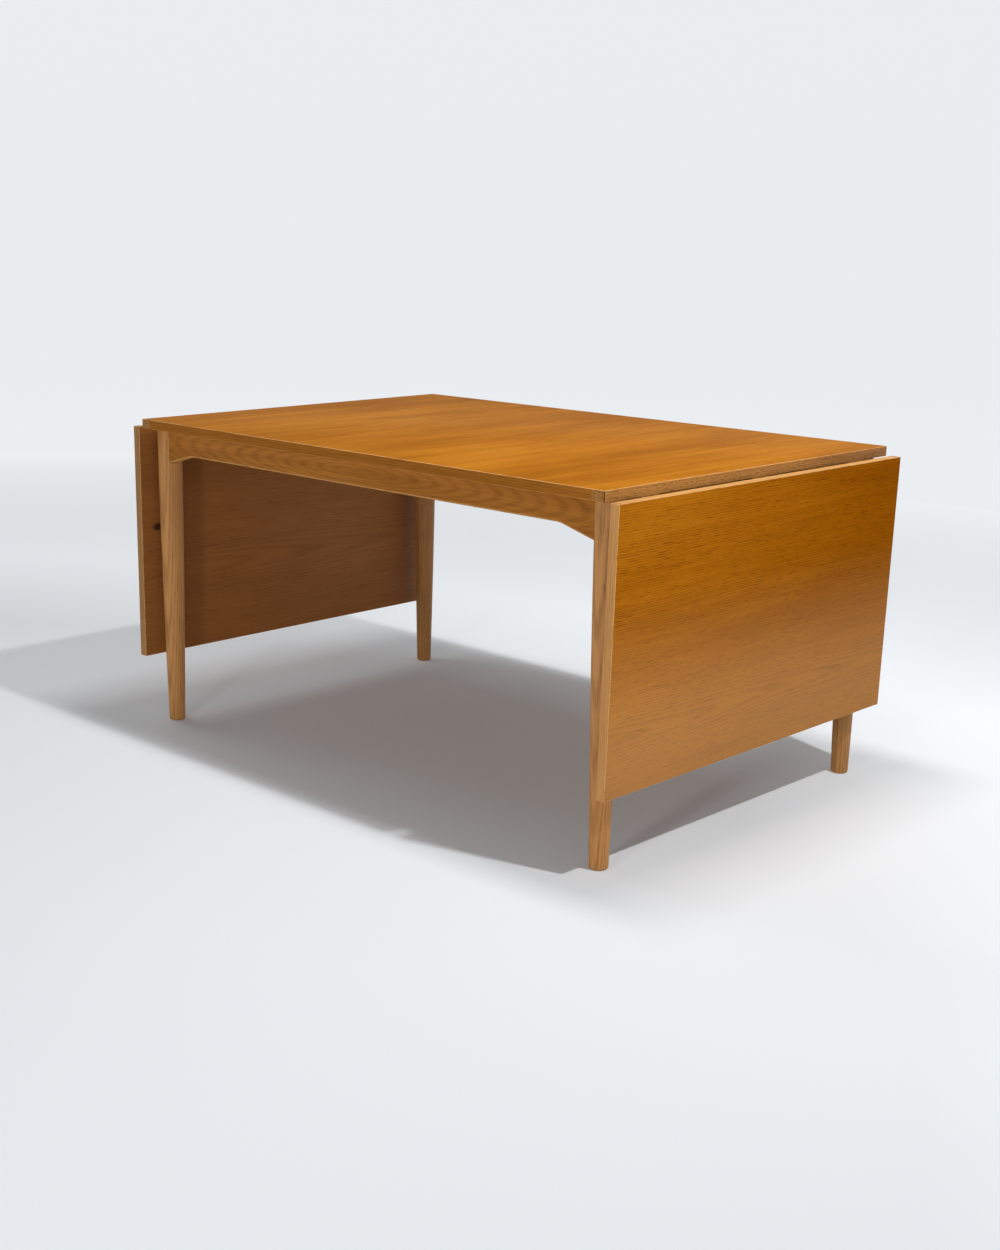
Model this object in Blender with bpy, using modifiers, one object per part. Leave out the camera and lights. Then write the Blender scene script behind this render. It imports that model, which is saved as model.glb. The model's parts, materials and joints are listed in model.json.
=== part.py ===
"""Drop leaf dining table in oak: a veneered top on a mortised frame, and two leaves that hang on
butt hinges and rest on pull-out lopers when they are raised.

Frame: metres, +Z up, origin on the floor under the middle of the top, +X along the length.
The right leaf is at +X and the front of the table is at -Y.
"""

import math

import bmesh
import bpy
from mathutils import Matrix, Vector

# Driving dimensions, in metres.
TOP_LENGTH = 1.380
TOP_WIDTH = 0.930
TABLE_HEIGHT = 0.720
BOARD_THICKNESS = 0.021
LEAF_DROP = 0.546
LEAF_TILT_RIGHT = math.radians(1.3)
VENEER = 0.0009
GAP = 0.0003
END_LIPPING = 0.028
END_LIPPING_SLANT = 0.003
SIDE_LIPPING = 0.012
LEAF_LIPPING = 0.028
TOP_CLEARANCE = 0.0005

LEG_X = 0.660
LEG_Y = 0.411
LEG_RADIUS = 0.0275
FOOT_RADIUS = 0.0185
TAPER_START = 0.600
TAPER_POWER = 1.5
FOOT_ROUNDING = 0.005
LEG_SIDES = 40

RAIL_THICKNESS = 0.022
RAIL_FACE_OUT = 0.018
RAIL_DEPTH = 0.057
HAUNCH_DROP = 0.023
HAUNCH_SLOPE = math.radians(15.0)
HAUNCH_RADIUS = 0.060
HAUNCH_START = 0.020
TENON_THICKNESS = 0.009
TENON_LOW = 0.637
TENON_HIGH = 0.690
TENON_START = 0.040
TENON_PAST_CENTRE = -0.004
END_TENON_PAST_CENTRE = 0.009

BEARER_X = 0.500
BEARER_THICKNESS = 0.022
BEARER_DEPTH = 0.044
BLOCK_NEAR = 0.048
BLOCK_FAR = 0.075
BLOCK_DEPTH = 0.039

LOPER_Y = 0.200
LOPER_WIDTH = 0.030
LOPER_HEIGHT = 0.026
LOPER_LENGTH = 0.520
LOPER_CLEARANCE = 0.0005
PIN_INSET = 0.020
STOP_PIN_RADIUS = 0.004
STOP_PIN_LENGTH = 0.034
STOP_PIN_SUNK = 0.002
STOP_PIN_SIDES = 20

# Lengths of tools that cut right through a rail, a loper or a notch's open side.
CUT_THROUGH = 0.3
CUT_BESIDE = 0.03
CUT_ABOVE = 0.01
CUT_BEYOND = 0.0006

HINGE_OFFSET = 0.00555
HINGE_OUT = 0.00795
HINGE_Y = (-0.340, 0.0, 0.340)
HINGE_LENGTH = 0.050
HINGE_REACH = 0.034
PLATE = 0.002
PLATE_INSET = 0.00015
BARREL_RADIUS = 0.0052
BARREL_SIDES = 24
HINGE_PIN_RADIUS = 0.0023
HINGE_BORE_RADIUS = 0.0024
KNUCKLE_GAP = 0.0004
MIDDLE_KNUCKLE = 0.016
SCREW_HOLE_RADIUS = 0.0021
SCREW_HEAD_RADIUS = 0.0040
SCREW_SIDES = 12
SCREW_PLACES = ((0.0145, -0.017), (0.0250, 0.0), (0.0145, 0.017))

# Heights and places that follow from them.
UNDERSIDE = TABLE_HEIGHT - BOARD_THICKNESS
RAIL_TOP = UNDERSIDE - GAP
RAIL_LOW = UNDERSIDE - RAIL_DEPTH
APRON_Y = LEG_Y + RAIL_FACE_OUT - RAIL_THICKNESS / 2
END_RAIL_X = LEG_X + RAIL_FACE_OUT - RAIL_THICKNESS / 2
AXIS_X = TOP_LENGTH / 2 + HINGE_OUT
AXIS_Z = UNDERSIDE - HINGE_OFFSET
SIDES = {"right": 1, "left": -1}
FACES = {"front": -1, "back": 1}


def clear_scene():
    for old in list(bpy.data.objects):
        bpy.data.objects.remove(old)


def new_collection(name):
    found = bpy.data.collections.new(name)
    bpy.context.scene.collection.children.link(found)
    return found


def material(name, colour, roughness, metallic=0.0):
    made = bpy.data.materials.new(name)
    made.use_nodes = True
    shader = made.node_tree.nodes["Principled BSDF"]
    shader.inputs["Base Color"].default_value = (*colour, 1.0)
    shader.inputs["Roughness"].default_value = roughness
    shader.inputs["Metallic"].default_value = metallic
    made.diffuse_color = (*colour, 1.0)
    return made


clear_scene()
TABLE = new_collection("drop_leaf_table")
CUTTERS = new_collection("cutters")
TOP_OAK = material("oiled_oak_top", (0.50, 0.20, 0.045), 0.42)
LIPPING_OAK = material("oiled_oak_edge", (0.33, 0.12, 0.035), 0.45)
FRAME_OAK = material("oiled_oak_frame", (0.30, 0.11, 0.035), 0.45)
LEG_OAK = material("oiled_oak_leg", (0.36, 0.14, 0.045), 0.45)
LEAF_OAK = material("oiled_oak_leaf", (0.38, 0.14, 0.035), 0.42)
CORE_WOOD = material("blockboard_core", (0.45, 0.30, 0.17), 0.70)
LOPER_BEECH = material("beech_loper", (0.50, 0.31, 0.16), 0.50)
HINGE_BRASS = material("aged_brass", (0.55, 0.40, 0.18), 0.35, 1.0)
PIN_STEEL = material("pin_steel", (0.45, 0.45, 0.46), 0.35, 1.0)


def add_mesh(name, bm, finish, at=(0, 0, 0), parent=None, collection=None):
    """An object from a bmesh, which is freed."""
    mesh = bpy.data.meshes.new(name)
    bm.to_mesh(mesh)
    bm.free()
    made = bpy.data.objects.new(name, mesh)
    (collection or TABLE).objects.link(made)
    made.location = at
    if finish:
        mesh.materials.append(finish)
    if parent:
        made.parent = parent
    return made


def box_mesh(low, high, about=(0, 0, 0)):
    """A block between two corners, with its coordinates counted from the point about."""
    low, high, about = Vector(low), Vector(high), Vector(about)
    bm = bmesh.new()
    size = high - low
    place = Matrix.Translation((low + high) / 2 - about) @ Matrix.Diagonal((*size, 1.0))
    bmesh.ops.create_cube(bm, size=1.0, matrix=place)
    return bm


def box(name, low, high, finish, parent=None):
    """A rectangular piece with its origin at its centre."""
    centre = (Vector(low) + Vector(high)) / 2
    return add_mesh(name, box_mesh(low, high, centre), finish, centre, parent)


def rod_mesh(radius, length, sides, axis, centre=(0, 0, 0), end_radius=None):
    """A straight rod or cone along X, Y or Z."""
    bm = bmesh.new()
    turn = {"X": Matrix.Rotation(math.pi / 2, 4, "Y"), "Y": Matrix.Rotation(-math.pi / 2, 4, "X")}
    place = Matrix.Translation(centre) @ turn.get(axis, Matrix.Identity(4))
    top = radius if end_radius is None else end_radius
    bmesh.ops.create_cone(
        bm, cap_ends=True, segments=sides, radius1=radius, radius2=top, depth=length, matrix=place
    )
    return bm


def helper(name, bm, at=(0, 0, 0), parent=None):
    """A tool for a Boolean: it is never part of the table."""
    tool = add_mesh(name, bm, None, at, parent, CUTTERS)
    tool.hide_render = True
    tool.display_type = "WIRE"
    return tool


def boolean(piece, tool, operation="DIFFERENCE"):
    step = piece.modifiers.new(tool.name, "BOOLEAN")
    step.operation = operation
    step.solver = "EXACT"
    step.object = tool


def smooth(piece, degrees=35):
    piece.data.shade_smooth()
    piece.data.set_sharp_from_angle(angle=math.radians(degrees))


def empty(name, at, turn=(0, 0, 0)):
    made = bpy.data.objects.new(name, None)
    TABLE.objects.link(made)
    made.location = at
    made.rotation_euler = turn
    made.empty_display_size = 0.05
    return made


# --- the top ---------------------------------------------------------------------------------


def slanted_board(name, low, high, finish, slant_low=0.0, slant_high=0.0):
    """A board whose ends along X lean: its lower edges move by the two slants."""
    centre = (Vector(low) + Vector(high)) / 2
    bm = box_mesh(low, high, centre)
    for vert in bm.verts:
        if vert.co.z < 0:
            vert.co.x += slant_low if vert.co.x < 0 else slant_high
    return add_mesh(name, bm, finish, centre)


def make_top():
    half_x, half_y = TOP_LENGTH / 2, TOP_WIDTH / 2
    veneer_low = TABLE_HEIGHT - VENEER
    core_high = veneer_low - GAP
    inner_x = half_x - END_LIPPING
    slant = END_LIPPING_SLANT
    box("top_veneer", (-half_x, -half_y, veneer_low), (half_x, half_y, TABLE_HEIGHT), TOP_OAK)
    core_x = inner_x - GAP
    core_y = half_y - SIDE_LIPPING - GAP
    slanted_board(
        "top_core", (-core_x, -core_y, UNDERSIDE), (core_x, core_y, core_high), CORE_WOOD,
        slant, -slant,
    )
    for face, sign in FACES.items():
        edges = sorted((sign * half_y, sign * (half_y - SIDE_LIPPING)))
        slanted_board(
            f"top_lipping_{face}",
            (-core_x, edges[0], UNDERSIDE), (core_x, edges[1], core_high), LIPPING_OAK,
            slant, -slant,
        )
    for side, sign in SIDES.items():
        edges = sorted((sign * half_x, sign * inner_x))
        leans = (-slant, 0.0) if sign > 0 else (0.0, slant)
        slanted_board(
            f"top_lipping_{side}",
            (edges[0], -half_y, UNDERSIDE), (edges[1], half_y, core_high), LIPPING_OAK,
            *leans,
        )


# --- the legs --------------------------------------------------------------------------------


def leg_radius(height):
    """Parallel at the rails, then a taper that gathers towards the foot."""
    if height >= TAPER_START:
        return LEG_RADIUS
    share = (1 - height / TAPER_START) ** TAPER_POWER
    return FOOT_RADIUS + (LEG_RADIUS - FOOT_RADIUS) * (1 - share)


def leg_profile():
    """Points down the outer side of the leg, from its top centre to the middle of the foot."""
    heights = [RAIL_TOP] + [TAPER_START * step / 8 for step in range(8, 0, -1)]
    points = [(0.0, RAIL_TOP)] + [(leg_radius(z), z) for z in heights]
    foot = leg_radius(FOOT_ROUNDING)
    for step in range(3):
        angle = math.radians(45 * step)
        x = foot - FOOT_ROUNDING + FOOT_ROUNDING * math.cos(angle)
        points.append((x, FOOT_ROUNDING - FOOT_ROUNDING * math.sin(angle)))
    return points + [(0.0, 0.0)]


def make_leg(name, x, y):
    bm = bmesh.new()
    verts = [bm.verts.new((radius, 0.0, z)) for radius, z in leg_profile()]
    for upper, lower in zip(verts, verts[1:]):
        bm.edges.new((upper, lower))
    leg = add_mesh(name, bm, LEG_OAK, (x, y, 0.0))
    turn = leg.modifiers.new("turning", "SCREW")
    turn.steps = LEG_SIDES
    turn.render_steps = LEG_SIDES
    turn.use_merge_vertices = True
    turn.merge_threshold = 0.0001
    return leg


def tenon_boxes(sx, sy, grow=0.0):
    """Corners of the two tenons that meet in one leg: the apron's and the end rail's."""
    half = TENON_THICKNESS / 2 + grow
    low, high = TENON_LOW - grow, TENON_HIGH + grow
    apron_end = LEG_X + TENON_PAST_CENTRE + grow
    rail_end = LEG_Y + END_TENON_PAST_CENTRE + grow
    apron_x = sorted((sx * (LEG_X - TENON_START), sx * apron_end))
    apron_y = sorted((sy * (APRON_Y - half), sy * (APRON_Y + half)))
    rail_x = sorted((sx * (END_RAIL_X - half), sx * (END_RAIL_X + half)))
    rail_y = sorted((sy * (LEG_Y - TENON_START), sy * rail_end))
    return {
        "apron": ((apron_x[0], apron_y[0], low), (apron_x[1], apron_y[1], high)),
        "rail": ((rail_x[0], rail_y[0], low), (rail_x[1], rail_y[1], high)),
    }


def make_legs():
    for face, sy in FACES.items():
        for side, sx in SIDES.items():
            name = f"leg_{face}_{side}"
            leg = make_leg(name, sx * LEG_X, sy * LEG_Y)
            for joint, (low, high) in tenon_boxes(sx, sy, GAP).items():
                boolean(leg, helper(f"{name}_{joint}_mortise", box_mesh(low, high)))
            smooth(leg)


# --- aprons and end rails --------------------------------------------------------------------


def haunch(reach):
    """Lower edge of a rail from its end to where the haunch has run out, as (along, z)."""
    slope, radius = HAUNCH_SLOPE, HAUNCH_RADIUS
    start_z = RAIL_LOW - HAUNCH_DROP
    tangent = radius * math.tan(slope / 2)
    run = HAUNCH_DROP / math.tan(slope)
    start = reach - HAUNCH_START
    corner = start - run
    points = [(reach, start_z), (start, start_z)]
    centre = (corner - tangent, RAIL_LOW - radius)
    for step in range(5):
        angle = slope * (1 - step / 4)
        points.append((centre[0] + radius * math.sin(angle), centre[1] + radius * math.cos(angle)))
    return points


def rail_outline(reach):
    right = haunch(reach)
    left = [(-along, z) for along, z in reversed(right)]
    return [(reach, RAIL_TOP)] + right + left + [(-reach, RAIL_TOP)]


def flat_outline(name, points, thickness, turn, at, finish):
    """A closed flat outline given thickness, made a mesh so that it can be cut."""
    curve = bpy.data.curves.new(name, "CURVE")
    curve.dimensions = "2D"
    curve.fill_mode = "BOTH"
    curve.extrude = thickness / 2
    spline = curve.splines.new("POLY")
    spline.points.add(len(points) - 1)
    for point, (u, v) in zip(spline.points, points):
        point.co = (u, v, 0.0, 1.0)
    spline.use_cyclic_u = True
    drawn = bpy.data.objects.new(name + "_outline", curve)
    TABLE.objects.link(drawn)
    drawn.rotation_euler = turn
    drawn.location = at
    bpy.context.view_layer.update()
    graph = bpy.context.evaluated_depsgraph_get()
    mesh = bpy.data.meshes.new_from_object(drawn.evaluated_get(graph))
    mesh.name = name
    mesh.materials.clear()
    mesh.materials.append(finish)
    bm = bmesh.new()
    bm.from_mesh(mesh)
    bmesh.ops.remove_doubles(bm, verts=bm.verts, dist=1e-6)
    bmesh.ops.recalc_face_normals(bm, faces=bm.faces)
    bm.to_mesh(mesh)
    bm.free()
    made = bpy.data.objects.new(name, mesh)
    TABLE.objects.link(made)
    made.matrix_world = drawn.matrix_world
    bpy.data.objects.remove(drawn)
    return made


def scribe(piece, x, y):
    """Shapes a rail's shoulder to the round leg."""
    radius = (LEG_RADIUS + GAP) / math.cos(math.pi / LEG_SIDES)
    tool = rod_mesh(radius, CUT_THROUGH, LEG_SIDES, "Z")
    boolean(piece, helper(f"{piece.name}_scribe", tool, (x, y, RAIL_TOP)))


def make_aprons():
    upright = (math.pi / 2, 0, 0)
    for face, sy in FACES.items():
        name = f"apron_{face}"
        at = (0, sy * APRON_Y, 0)
        apron = flat_outline(name, rail_outline(LEG_X), RAIL_THICKNESS, upright, at, FRAME_OAK)
        for sx in SIDES.values():
            scribe(apron, sx * LEG_X, sy * LEG_Y)
        for side, sx in SIDES.items():
            low, high = tenon_boxes(sx, sy)["apron"]
            boolean(apron, helper(f"{name}_tenon_{side}", box_mesh(low, high)), "UNION")


def notch(piece, low, high):
    boolean(piece, helper(f"{piece.name}_notch", box_mesh(low, high)))


def notch_for_lopers(piece, x):
    half = LOPER_WIDTH / 2 + LOPER_CLEARANCE
    floor = RAIL_TOP - LOPER_HEIGHT - LOPER_CLEARANCE
    mouth = UNDERSIDE + CUT_ABOVE
    for y in (-LOPER_Y, LOPER_Y):
        notch(piece, (x - CUT_BESIDE, y - half, floor), (x + CUT_BESIDE, y + half, mouth))


def make_end_rails():
    upright = (math.pi / 2, 0, math.pi / 2)
    for side, sx in SIDES.items():
        name = f"end_rail_{side}"
        at = (sx * END_RAIL_X, 0, 0)
        rail = flat_outline(name, rail_outline(LEG_Y), RAIL_THICKNESS, upright, at, FRAME_OAK)
        for sy in FACES.values():
            scribe(rail, sx * LEG_X, sy * LEG_Y)
        notch_for_lopers(rail, sx * END_RAIL_X)
        floor = UNDERSIDE - HINGE_OFFSET + BARREL_RADIUS - PLATE - 2 * GAP
        half = HINGE_LENGTH / 2 + 2 * GAP
        for y in HINGE_Y:
            ends = sorted((sx * (END_RAIL_X - CUT_BESIDE), sx * (END_RAIL_X + CUT_BESIDE)))
            notch(rail, (ends[0], y - half, floor), (ends[1], y + half, UNDERSIDE + CUT_ABOVE))
        for face, sy in FACES.items():
            low, high = tenon_boxes(sx, sy)["rail"]
            boolean(rail, helper(f"{name}_tenon_{face}", box_mesh(low, high)), "UNION")


def make_bearers():
    inner_y = APRON_Y - RAIL_THICKNESS / 2 - GAP
    half = BEARER_THICKNESS / 2
    for side, sx in SIDES.items():
        x = sx * BEARER_X
        low = (x - half, -inner_y, UNDERSIDE - BEARER_DEPTH)
        bearer = box(f"cross_bearer_{side}", low, (x + half, inner_y, RAIL_TOP), FRAME_OAK)
        notch_for_lopers(bearer, x)


def make_corner_blocks():
    """A glued block across each inside corner, clear of the round leg."""
    rail_face = END_RAIL_X - RAIL_THICKNESS / 2 - GAP
    apron_face = APRON_Y - RAIL_THICKNESS / 2 - GAP
    depth = BLOCK_DEPTH
    for face, sy in FACES.items():
        for side, sx in SIDES.items():
            outline = [
                (LEG_X - BLOCK_FAR, apron_face),
                (LEG_X - BLOCK_NEAR, apron_face),
                (rail_face, LEG_Y - BLOCK_NEAR),
                (rail_face, LEG_Y - BLOCK_FAR),
            ]
            points = [(sx * x, sy * y) for x, y in outline]
            at = (0, 0, RAIL_TOP - depth / 2)
            name = f"corner_block_{face}_{side}"
            flat_outline(name, points, depth, (0, 0, 0), at, FRAME_OAK)


# --- lopers ----------------------------------------------------------------------------------


def make_lopers():
    outer = END_RAIL_X + RAIL_THICKNESS / 2
    for side, sx in SIDES.items():
        for face, sy in FACES.items():
            ends = sorted((sx * outer, sx * (outer - LOPER_LENGTH)))
            y = sy * LOPER_Y
            low = (ends[0], y - LOPER_WIDTH / 2, RAIL_TOP - LOPER_HEIGHT)
            high = (ends[1], y + LOPER_WIDTH / 2, RAIL_TOP)
            name = f"loper_{face}_{side}"
            loper = box(name, low, high, LOPER_BEECH)
            pin_x = sx * (outer - LOPER_LENGTH + PIN_INSET)
            pin_z = RAIL_TOP - STOP_PIN_SUNK - STOP_PIN_LENGTH / 2
            bore = rod_mesh(STOP_PIN_RADIUS + GAP, CUT_THROUGH, STOP_PIN_SIDES, "Z")
            boolean(loper, helper(f"{name}_bore", bore, (pin_x, y, pin_z)))
            peg = rod_mesh(STOP_PIN_RADIUS, STOP_PIN_LENGTH, STOP_PIN_SIDES, "Z")
            pin = add_mesh(f"loper_stop_{face}_{side}", peg, LOPER_BEECH, (pin_x, y, pin_z))
            smooth(pin)


# --- leaves: their places are counted from the hinge axis, +X away from the table -------------


def make_leaf(side, axis_empty):
    inner = HINGE_OFFSET
    outer = inner + BOARD_THICKNESS
    high = HINGE_OUT - TOP_CLEARANCE
    low = HINGE_OUT - LEAF_DROP
    half_y = TOP_WIDTH / 2
    skin = VENEER + GAP
    board = (inner + skin, outer - skin)

    def piece(name, x, y, z, finish):
        corners = ((x[0], y[0], z[0]), (x[1], y[1], z[1]))
        box(f"leaf_{side}_{name}", *corners, finish, axis_empty)

    whole_y = (-half_y, half_y)
    piece("outer_veneer", (outer - VENEER, outer), whole_y, (low, high), LEAF_OAK)
    piece("inner_veneer", (inner, inner + VENEER), whole_y, (low, high), LEAF_OAK)
    strip = half_y - SIDE_LIPPING
    inside_y = (GAP - strip, strip - GAP)
    piece("hinge_lipping", board, inside_y, (high - LEAF_LIPPING, high), LIPPING_OAK)
    piece("end_lipping", board, inside_y, (low, low + LEAF_LIPPING), LIPPING_OAK)
    core_height = (low + LEAF_LIPPING + GAP, high - LEAF_LIPPING - GAP)
    # The left leaf's empty is turned round, so its local +Y is the front of the table.
    front, back = ("back", "front") if side == "left" else ("front", "back")
    piece(f"{front}_lipping", board, (-half_y, -strip), (low, high), LIPPING_OAK)
    piece(f"{back}_lipping", board, (strip, half_y), (low, high), LIPPING_OAK)
    piece("core", board, inside_y, core_height, CORE_WOOD)


# --- hinges: also counted from the axis, with the fixed flap under the top ---------------------


def knuckle(radius, start, end):
    return rod_mesh(radius, end - start, BARREL_SIDES, "Y", (0, (start + end) / 2, 0))


def screw_holes(tool, along, face):
    """Three countersunk holes, with their mouths on the side that faces away from the wood."""
    outside = BARREL_RADIUS - PLATE_INSET
    turn = Vector((0, 0, 1)).rotation_difference(face).to_matrix().to_4x4()
    spread = (SCREW_HEAD_RADIUS - SCREW_HOLE_RADIUS) / PLATE
    mouth = SCREW_HEAD_RADIUS + spread * CUT_BEYOND
    back = SCREW_HOLE_RADIUS - spread * CUT_BEYOND
    for number, (reach, shift) in enumerate(SCREW_PLACES):
        middle = along * reach + face * (outside - PLATE / 2) + Vector((0, shift, 0))
        depth = PLATE + 2 * CUT_BEYOND
        cone = rod_mesh(mouth, depth, SCREW_SIDES, "Z", end_radius=back)
        bmesh.ops.transform(cone, matrix=Matrix.Translation(middle) @ turn, verts=cone.verts)
        tool(f"hole_{number}", cone)


def make_flap(name, parent, y, along, face, spans, gaps):
    """A plate with its knuckles. along runs from the axis down the plate, face towards the wood.
    spans are the stretches of its own knuckles along Y, gaps those of the other flap's."""
    half = HINGE_LENGTH / 2
    outside = BARREL_RADIUS - PLATE_INSET

    def slab(begin, end, low_y, high_y, grow=0.0):
        ends = (along * begin + face * (outside + grow), along * end + face * (outside - PLATE - grow))
        low = Vector(map(min, *ends))
        high = Vector(map(max, *ends))
        low.y, high.y = low_y, high_y
        return box_mesh(low, high)

    def tool(label, bm, operation="DIFFERENCE"):
        boolean(flap, helper(f"{name}_{label}", bm, (0, y, 0), parent), operation)

    flap = add_mesh(name, slab(PLATE_INSET, HINGE_REACH, -half, half), HINGE_BRASS, (0, y, 0), parent)
    for number, (low_y, high_y) in enumerate(gaps):
        clear = BARREL_RADIUS + KNUCKLE_GAP
        tool(f"gap_{number}", slab(-clear, clear, low_y, high_y, PLATE))
    for number, (low_y, high_y) in enumerate(spans):
        tool(f"knuckle_{number}", knuckle(BARREL_RADIUS, low_y, high_y), "UNION")
    tool("bore", knuckle(HINGE_BORE_RADIUS, -HINGE_LENGTH, HINGE_LENGTH))
    screw_holes(tool, along, face)
    smooth(flap)


def make_hinges(side, fixed_empty, leaf_empty):
    half, mid, play = HINGE_LENGTH / 2, MIDDLE_KNUCKLE / 2, KNUCKLE_GAP / 2
    end = half - GAP
    outer_spans = ((-end, -mid - play), (mid + play, end))
    outer_gaps = ((-half - GAP, play + GAP - mid), (mid - play - GAP, half + GAP))
    middle_span = ((play - mid, mid - play),)
    middle_gap = ((-mid - play - GAP, mid + play + GAP),)
    names = ("front", "middle", "back") if side == "right" else ("back", "middle", "front")
    inward, out = Vector((-1, 0, 0)), Vector((1, 0, 0))
    up, down = Vector((0, 0, 1)), Vector((0, 0, -1))
    for name, y in zip(names, HINGE_Y):
        label = f"hinge_{side}_{name}"
        make_flap(f"{label}_top_flap", fixed_empty, y, inward, up, outer_spans, middle_gap)
        make_flap(f"{label}_leaf_flap", leaf_empty, y, down, out, middle_span, outer_gaps)
        rod = rod_mesh(HINGE_PIN_RADIUS, HINGE_LENGTH, BARREL_SIDES, "Y")
        smooth(add_mesh(f"{label}_pin", rod, PIN_STEEL, (0, y, 0), fixed_empty))


def make_ends():
    for side, sign in SIDES.items():
        turn = 0.0 if sign > 0 else math.pi
        tilt = LEAF_TILT_RIGHT if sign > 0 else 0.0
        at = (sign * AXIS_X, 0, AXIS_Z)
        fixed_empty = empty(f"hinge_line_{side}", at, (0, 0, turn))
        leaf_empty = empty(f"leaf_axis_{side}", at, (0, tilt, turn))
        make_leaf(side, leaf_empty)
        make_hinges(side, fixed_empty, leaf_empty)


make_top()
make_legs()
make_aprons()
make_end_rails()
make_bearers()
make_corner_blocks()
make_lopers()
make_ends()
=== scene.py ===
# %% [markdown]
# # A drop leaf table in oiled oak
#
# The real object is a dining table with a veneered top, four turned legs, arched aprons and a
# leaf that hangs at each end. This lesson dresses the working model of it: every board gets its
# eased edges, every leg is turned, and every surface gets oak that runs the way its grain runs.
#
# The working model comes in as a fixed frame. Nothing in it is moved. A piece made here either
# stands for a solid of the frame, or is added to it, and rides on the body that it belongs to.

# %% The frame
import json
import math

import bmesh
import bpy
from mathutils import Matrix, Vector


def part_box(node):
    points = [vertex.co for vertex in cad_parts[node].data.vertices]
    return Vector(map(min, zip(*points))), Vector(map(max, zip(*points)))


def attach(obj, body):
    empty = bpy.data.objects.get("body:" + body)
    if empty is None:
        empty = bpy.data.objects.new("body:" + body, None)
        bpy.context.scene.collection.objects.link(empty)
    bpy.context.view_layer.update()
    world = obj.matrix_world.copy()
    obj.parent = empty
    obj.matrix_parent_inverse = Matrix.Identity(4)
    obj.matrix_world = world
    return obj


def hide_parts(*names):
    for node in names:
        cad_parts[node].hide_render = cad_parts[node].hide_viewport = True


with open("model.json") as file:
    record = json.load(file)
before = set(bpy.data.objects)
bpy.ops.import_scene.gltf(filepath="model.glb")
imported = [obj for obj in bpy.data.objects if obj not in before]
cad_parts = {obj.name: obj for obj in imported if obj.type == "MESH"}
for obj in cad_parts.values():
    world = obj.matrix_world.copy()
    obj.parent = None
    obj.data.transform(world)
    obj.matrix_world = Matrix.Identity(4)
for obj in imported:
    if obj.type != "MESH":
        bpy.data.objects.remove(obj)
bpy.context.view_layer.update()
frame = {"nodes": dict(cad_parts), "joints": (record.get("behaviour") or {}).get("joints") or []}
NODES = frame["nodes"]

# %% [markdown]
# ## Measures
#
# Places come from the frame's own boxes, so the dressed table can't drift from the working one.
# Only what the frame doesn't say is a number here, such as how far an edge is rounded.

# %% Measures
SIDES = {"right": 1, "left": -1}
FACES = {"front": -1, "back": 1}
PLACES = ("front", "middle", "back")
JOINTS = {joint["name"]: joint for joint in frame["joints"]}
TOP_LOW, TOP_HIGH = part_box("top_veneer")
LEG_LOW, LEG_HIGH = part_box("leg_front_left")
LEG_X = -(LEG_LOW.x + LEG_HIGH.x) / 2
LEG_Y = -(LEG_LOW.y + LEG_HIGH.y) / 2
LEG_RADIUS = (LEG_HIGH.x - LEG_LOW.x) / 2
AXIS = Vector(JOINTS["leaf_right_hinge"]["pos_m"])
RIGHT_LEAF_TILT = math.radians(JOINTS["leaf_right_hinge"]["range_deg"][1] - 90.0)
HAIRLINE = 0.00005
CAD_GAP = 0.0003
print(f"top {TOP_HIGH.x - TOP_LOW.x:.3f} by {TOP_HIGH.y - TOP_LOW.y:.3f} at {TOP_HIGH.z:.3f}")
print(f"legs at {LEG_X:.3f}, {LEG_Y:.3f}; right leaf tilts {math.degrees(RIGHT_LEAF_TILT):.1f} degrees")

# %% [markdown]
# ## Camera
#
# The camera stands to the right of the table's near corner, at about the height of a seated
# person's eyes, and looks down at about thirteen degrees. Its place, its turn and its
# lens are one set of numbers, because perspective ties them together: a longer lens from
# further back would flatten the top. The small shift only frames the table.

# %% Camera
CAMERA_AT = Vector((2.5343, -2.6866, 1.1723))
CAMERA_TURN, CAMERA_DIP, CAMERA_ROLL = (math.radians(a) for a in (44.168, 13.379, 0.827))
LENS_MM = 48.26
LENS_SHIFT = (0.0217, -0.0045)


def aim(turn, dip, roll):
    """Columns are the camera's right, up and backward directions."""
    back = Vector((math.sin(turn) * math.cos(dip), -math.cos(turn) * math.cos(dip), math.sin(dip)))
    right = Vector((0, 0, 1)).cross(back).normalized()
    up = back.cross(right)
    tilted_right = math.cos(roll) * right + math.sin(roll) * up
    tilted_up = math.cos(roll) * up - math.sin(roll) * right
    return Matrix((tilted_right, tilted_up, back)).transposed()


camera = bpy.data.objects.new("camera", bpy.data.cameras.new("camera"))
camera.data.lens = LENS_MM
camera.data.shift_x, camera.data.shift_y = LENS_SHIFT
camera.matrix_world = Matrix.Translation(CAMERA_AT) @ aim(CAMERA_TURN, CAMERA_DIP, CAMERA_ROLL).to_4x4()
bpy.context.scene.collection.objects.link(camera)
bpy.context.scene.camera = camera
print("camera", [round(v, 2) for v in CAMERA_AT])

# %% [markdown]
# ## Studio
#
# A photographer stands furniture in a cove: a pale floor that curves up into the wall, so that
# no line shows behind the object. A round cove does this from every side. It is one profile, a
# floor, a quarter turn and a wall, spun about the upright axis. On a real set the far paper has
# its own lamps. Here it glows instead, more the further it is from a point in front of the
# table, and past that it reflects less. The paper throws no shadow, so its wall shuts out no
# light.
#
# The key lamp hangs high on the right and a long lamp hangs over the table. Each draws a shadow,
# and the two overlap under the table, where it is darkest. A soft lamp on the left lifts that
# side. A small one beside the camera throws the near leg's thin shadow on the leaf behind it,
# and being close, it gives the near leg more than the far ones.

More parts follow.
